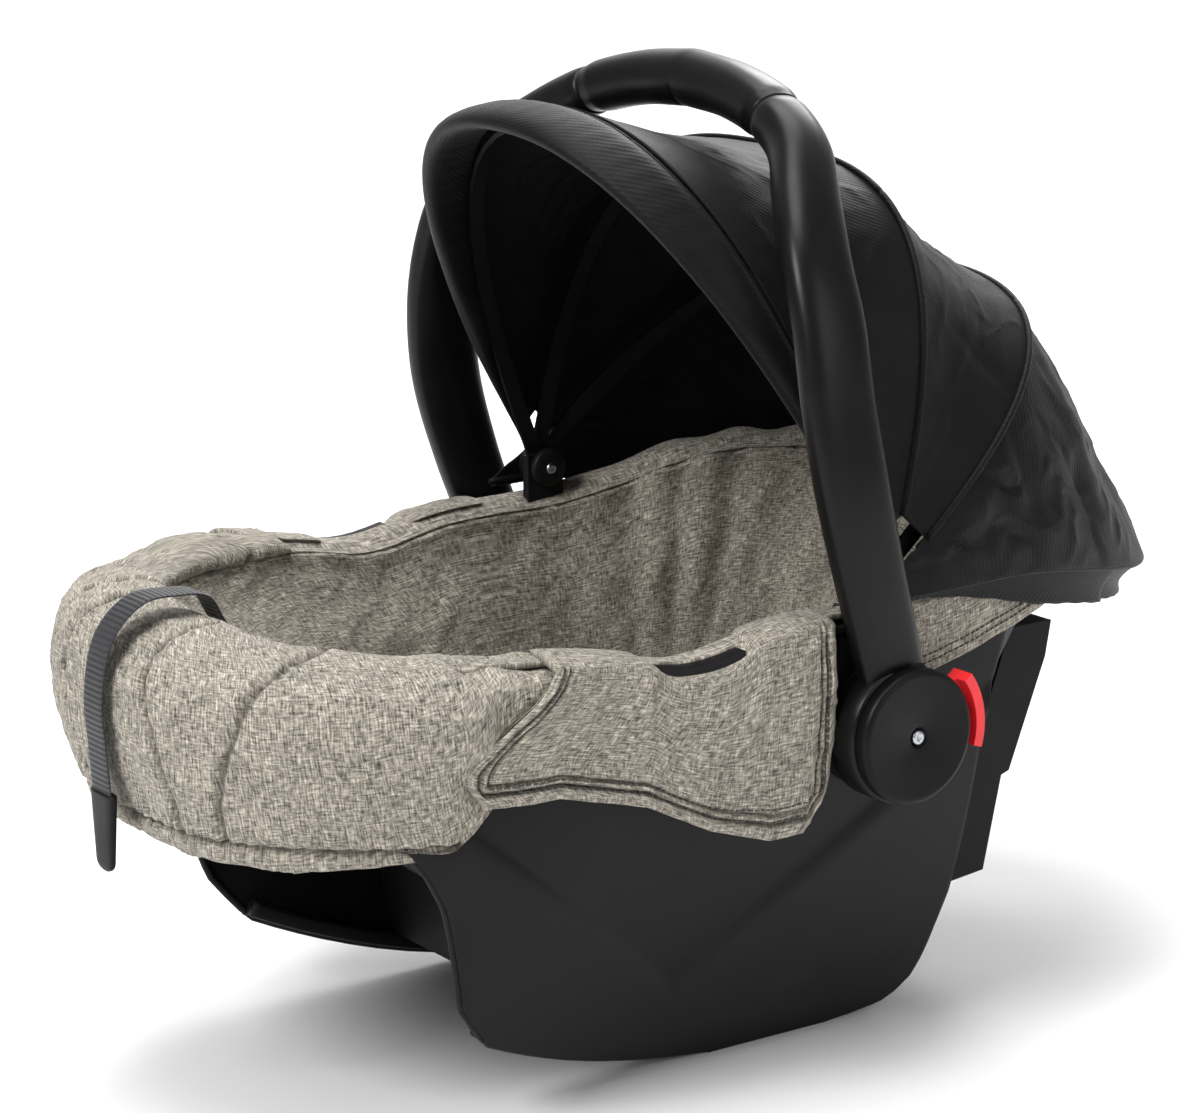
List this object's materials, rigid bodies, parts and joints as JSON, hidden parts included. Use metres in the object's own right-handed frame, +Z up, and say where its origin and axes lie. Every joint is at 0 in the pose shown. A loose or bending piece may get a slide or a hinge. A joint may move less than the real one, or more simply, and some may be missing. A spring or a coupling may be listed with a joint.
{
  "type": "infant car seat",
  "caption": "Infant car seat with a rocking plastic shell, a swinging carry handle, a folding cloth canopy, a padded woven cover and a harness.",
  "frame": {"origin": "centre of the seat's outline on the floor, under the shell", "axes": "+Z up, -Y to the baby's feet and +Y to the head end, +X to the baby's left"},
  "size_m": [0.432, 0.7028, 0.5632],
  "materials": {
    "black_plastic": "fine moulded grain",
    "dark_plastic": "smooth moulding",
    "black_cloth": "woven twill",
    "grey_cloth": "melange weave",
    "foam": "moulded foam",
    "webbing": "ribbed webbing",
    "red_plastic": "smooth moulding",
    "steel": "satin"
  },
  "bodies": {
    "seat": {"seat_shell": "black_plastic", "side_panel_left": "black_plastic", "side_panel_right": "black_plastic", "cross_rib_front": "black_plastic", "cross_rib_rear": "black_plastic", "rear_belt_guide": "black_plastic", "lap_belt_guide_left": "black_plastic", "lap_belt_guide_right": "black_plastic", "foam_liner": "foam", "seat_liner": "grey_cloth", "foot_roll": "grey_cloth", "side_flap_left": "grey_cloth", "side_flap_right": "grey_cloth", "head_cover": "grey_cloth", "shoulder_strap_left": "webbing", "shoulder_strap_right": "webbing", "shoulder_pad_left": "grey_cloth", "shoulder_pad_right": "grey_cloth", "buckle_body": "dark_plastic", "crotch_strap": "webbing", "adjuster_strap": "webbing", "pull_tab": "dark_plastic", "pivot_bolt_left": "steel", "pivot_bolt_right": "steel", "ratchet_plate_left": "dark_plastic", "ratchet_plate_right": "dark_plastic", "canopy_rear_panel": "black_cloth", "canopy_clip_left": "dark_plastic", "canopy_clip_right": "dark_plastic", "canopy_screw_left": "steel", "canopy_screw_right": "steel"},
    "handle": {"handle_arm_left": "black_plastic", "handle_arm_right": "black_plastic", "handle_grip": "black_plastic", "hub_cover_left": "black_plastic", "hub_cover_right": "black_plastic", "hub_rivet_left": "steel", "hub_rivet_right": "steel", "lock_gear_left": "dark_plastic", "lock_gear_right": "dark_plastic", "gear_spring_left": "steel", "gear_spring_right": "steel"},
    "button_left": {"release_button_left": "red_plastic"},
    "button_right": {"release_button_right": "red_plastic"},
    "buckle_press": {"buckle_button": "red_plastic"},
    "rear_bow": {"bow_rear": "dark_plastic"},
    "mid_bow": {"bow_mid": "dark_plastic", "canopy_mid_panel": "black_cloth"},
    "front_bow": {"bow_front": "dark_plastic", "canopy_rim": "black_cloth", "canopy_front_panel": "black_cloth"}
  },
  "joints": [
    {"name": "handle_swing", "type": "hinge", "parent": "seat", "child": "handle", "pos_m": [0, 0.041, 0.204], "axis": [-1, 0, 0], "range_deg": [0, 110]},
    {"name": "release_left", "type": "slide", "parent": "handle", "child": "button_left", "axis": [0, -0.9816, -0.1908], "range_m": [0, 0.004], "stiffness_N_per_m": 900, "springref_m": -0.002},
    {"name": "release_right", "type": "slide", "parent": "handle", "child": "button_right", "axis": [0, -0.9816, -0.1908], "range_m": [0, 0.004], "stiffness_N_per_m": 900, "springref_m": -0.002},
    {"name": "buckle_release", "type": "slide", "parent": "seat", "child": "buckle_press", "axis": [0, 0, -1], "range_m": [0, 0.003], "stiffness_N_per_m": 900, "springref_m": -0.002},
    {"name": "canopy_rear_fold", "type": "hinge", "parent": "seat", "child": "rear_bow", "pos_m": [0, 0.048, 0.289], "axis": [-1, 0, 0], "range_deg": [0, 26], "deforming": ["canopy_rear_panel"]},
    {"name": "canopy_mid_fold", "type": "hinge", "parent": "rear_bow", "child": "mid_bow", "pos_m": [0, 0.048, 0.289], "axis": [-1, 0, 0], "range_deg": [0, 27], "deforming": ["canopy_mid_panel"]},
    {"name": "canopy_front_fold", "type": "hinge", "parent": "mid_bow", "child": "front_bow", "pos_m": [0, 0.048, 0.289], "axis": [-1, 0, 0], "range_deg": [0, 26], "deforming": ["canopy_front_panel", "bow_front", "canopy_rim"]}
  ],
  "couplings": [
    {"joint": "canopy_mid_fold", "follows": "canopy_rear_fold", "ratio": 1.0364},
    {"joint": "canopy_front_fold", "follows": "canopy_rear_fold", "ratio": 0.998}
  ]
}
